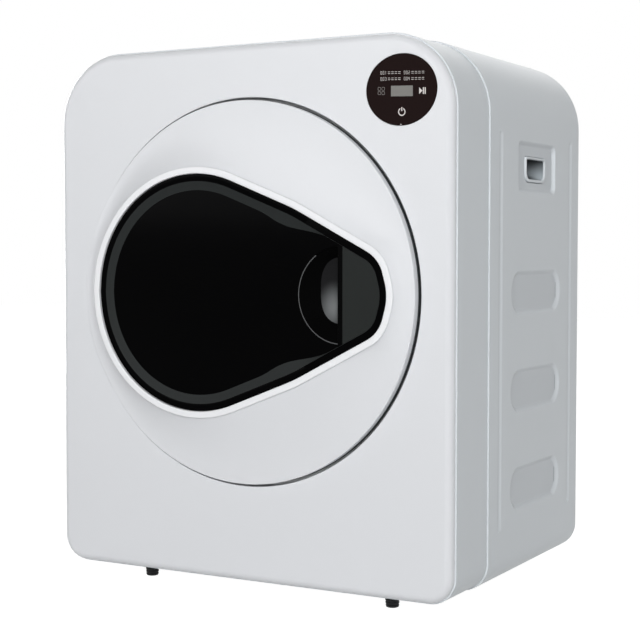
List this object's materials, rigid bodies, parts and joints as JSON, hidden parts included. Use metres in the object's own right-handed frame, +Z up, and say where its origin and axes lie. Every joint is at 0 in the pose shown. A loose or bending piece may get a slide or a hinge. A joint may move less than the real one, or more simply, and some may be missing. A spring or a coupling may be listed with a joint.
{
  "type": "clothes dryer",
  "caption": "Compact front-loading tumble dryer with a round hinged door, tear-drop window with finger scoop, oval touch panel, belt-driven drum and fan, and a rear exhaust spigot.",
  "frame": {"origin": "centre of the footprint, on the floor under the feet", "axes": "+Z up, -Y out of the door, +X to the right of someone facing the door"},
  "size_m": [0.498, 0.403, 0.6],
  "materials": {
    "white_front": "glossy moulded white",
    "white_body": "satin moulded white",
    "gloss_black": "polished black",
    "dark_grey": "satin dark grey",
    "panel_black": "gloss brown-black lens",
    "display_grey": "grey display window",
    "board_green": "solder mask",
    "light_plastic": "light grey moulded",
    "dark_plastic": "dark moulded",
    "rubber": "matte black rubber",
    "felt": "grey felt",
    "steel": "brushed",
    "zinc_steel": "galvanised sheet",
    "aluminium": "cast",
    "bronze": "sintered bush"
  },
  "bodies": {
    "root": {"front_cover": "white_front", "cabinet_shell": "white_body", "front_frame": "white_body", "hand_grip_left": "white_body", "hand_grip_right": "white_body", "panel_lens": "panel_black", "display_module": "display_grey", "control_board": "board_green", "panel_tray": "dark_plastic", "front_bulkhead": "light_plastic", "hinge_bracket": "zinc_steel", "hinge_pin": "steel", "catch_magnet": "dark_plastic", "switch_housing": "dark_plastic", "front_felt": "felt", "rear_felt": "felt", "rear_bulkhead": "zinc_steel", "drum_bush": "dark_plastic", "fan_housing": "light_plastic", "fan_bearing": "bronze", "exhaust_elbow": "light_plastic", "heater_duct": "zinc_steel", "heater_element": "aluminium", "thermostat": "dark_plastic", "motor_body": "zinc_steel", "motor_bracket": "zinc_steel", "drum_belt": "rubber", "fan_belt": "rubber", "run_capacitor": "light_plastic", "capacitor_clip": "dark_plastic", "back_panel": "zinc_steel", "inlet_gland": "rubber", "foot_front_left": "rubber", "foot_front_right": "rubber", "foot_back_left": "rubber", "foot_back_right": "rubber"},
    "door": {"door_ring": "white_front", "door_window": "gloss_black", "grip_plate": "dark_grey", "scoop_bowl": "gloss_black", "door_liner": "light_plastic", "door_seal": "rubber", "hinge_leaf": "zinc_steel", "strike_plate": "zinc_steel"},
    "drum": {"drum_shell": "steel", "drum_lifter_1": "light_plastic", "drum_lifter_2": "light_plastic", "drum_lifter_3": "light_plastic", "drum_hub": "aluminium"},
    "lint_filter": {"filter_frame": "dark_plastic", "filter_screen": "light_plastic"},
    "motor_rotor": {"motor_shaft": "steel", "motor_pulley": "aluminium", "blower_pulley": "dark_plastic"},
    "fan": {"fan_wheel": "dark_plastic", "fan_shaft": "steel", "fan_pulley": "dark_plastic"},
    "plunger": {"switch_plunger": "light_plastic"}
  },
  "joints": [
    {"name": "door_swing", "type": "hinge", "parent": "root", "child": "door", "pos_m": [-0.188, -0.1855, 0.332], "axis": [0, 0, -1], "range_deg": [0, 100]},
    {"name": "drum_spin", "type": "hinge", "parent": "root", "child": "drum", "pos_m": [0.004, 0, 0.332], "axis": [0, 1, 0], "continuous": true},
    {"name": "motor_spin", "type": "hinge", "parent": "root", "child": "motor_rotor", "pos_m": [-0.184, 0, 0.0799], "axis": [0, 1, 0], "continuous": true},
    {"name": "fan_spin", "type": "hinge", "parent": "root", "child": "fan", "pos_m": [0.004, 0, 0.332], "axis": [0, 1, 0], "continuous": true},
    {"name": "filter_pull", "type": "slide", "parent": "drum", "child": "lint_filter", "axis": [0, -1, 0], "range_m": [0, 0.04]},
    {"name": "switch_press", "type": "slide", "parent": "root", "child": "plunger", "axis": [0, -1, 0], "range_m": [0, 0.004]}
  ],
  "couplings": [
    {"joint": "motor_spin", "follows": "drum_spin", "ratio": 21.571},
    {"joint": "fan_spin", "follows": "drum_spin", "ratio": 31.605},
    {"joint": "switch_press", "follows": "door_swing", "m_per_rad": 0.00229}
  ]
}
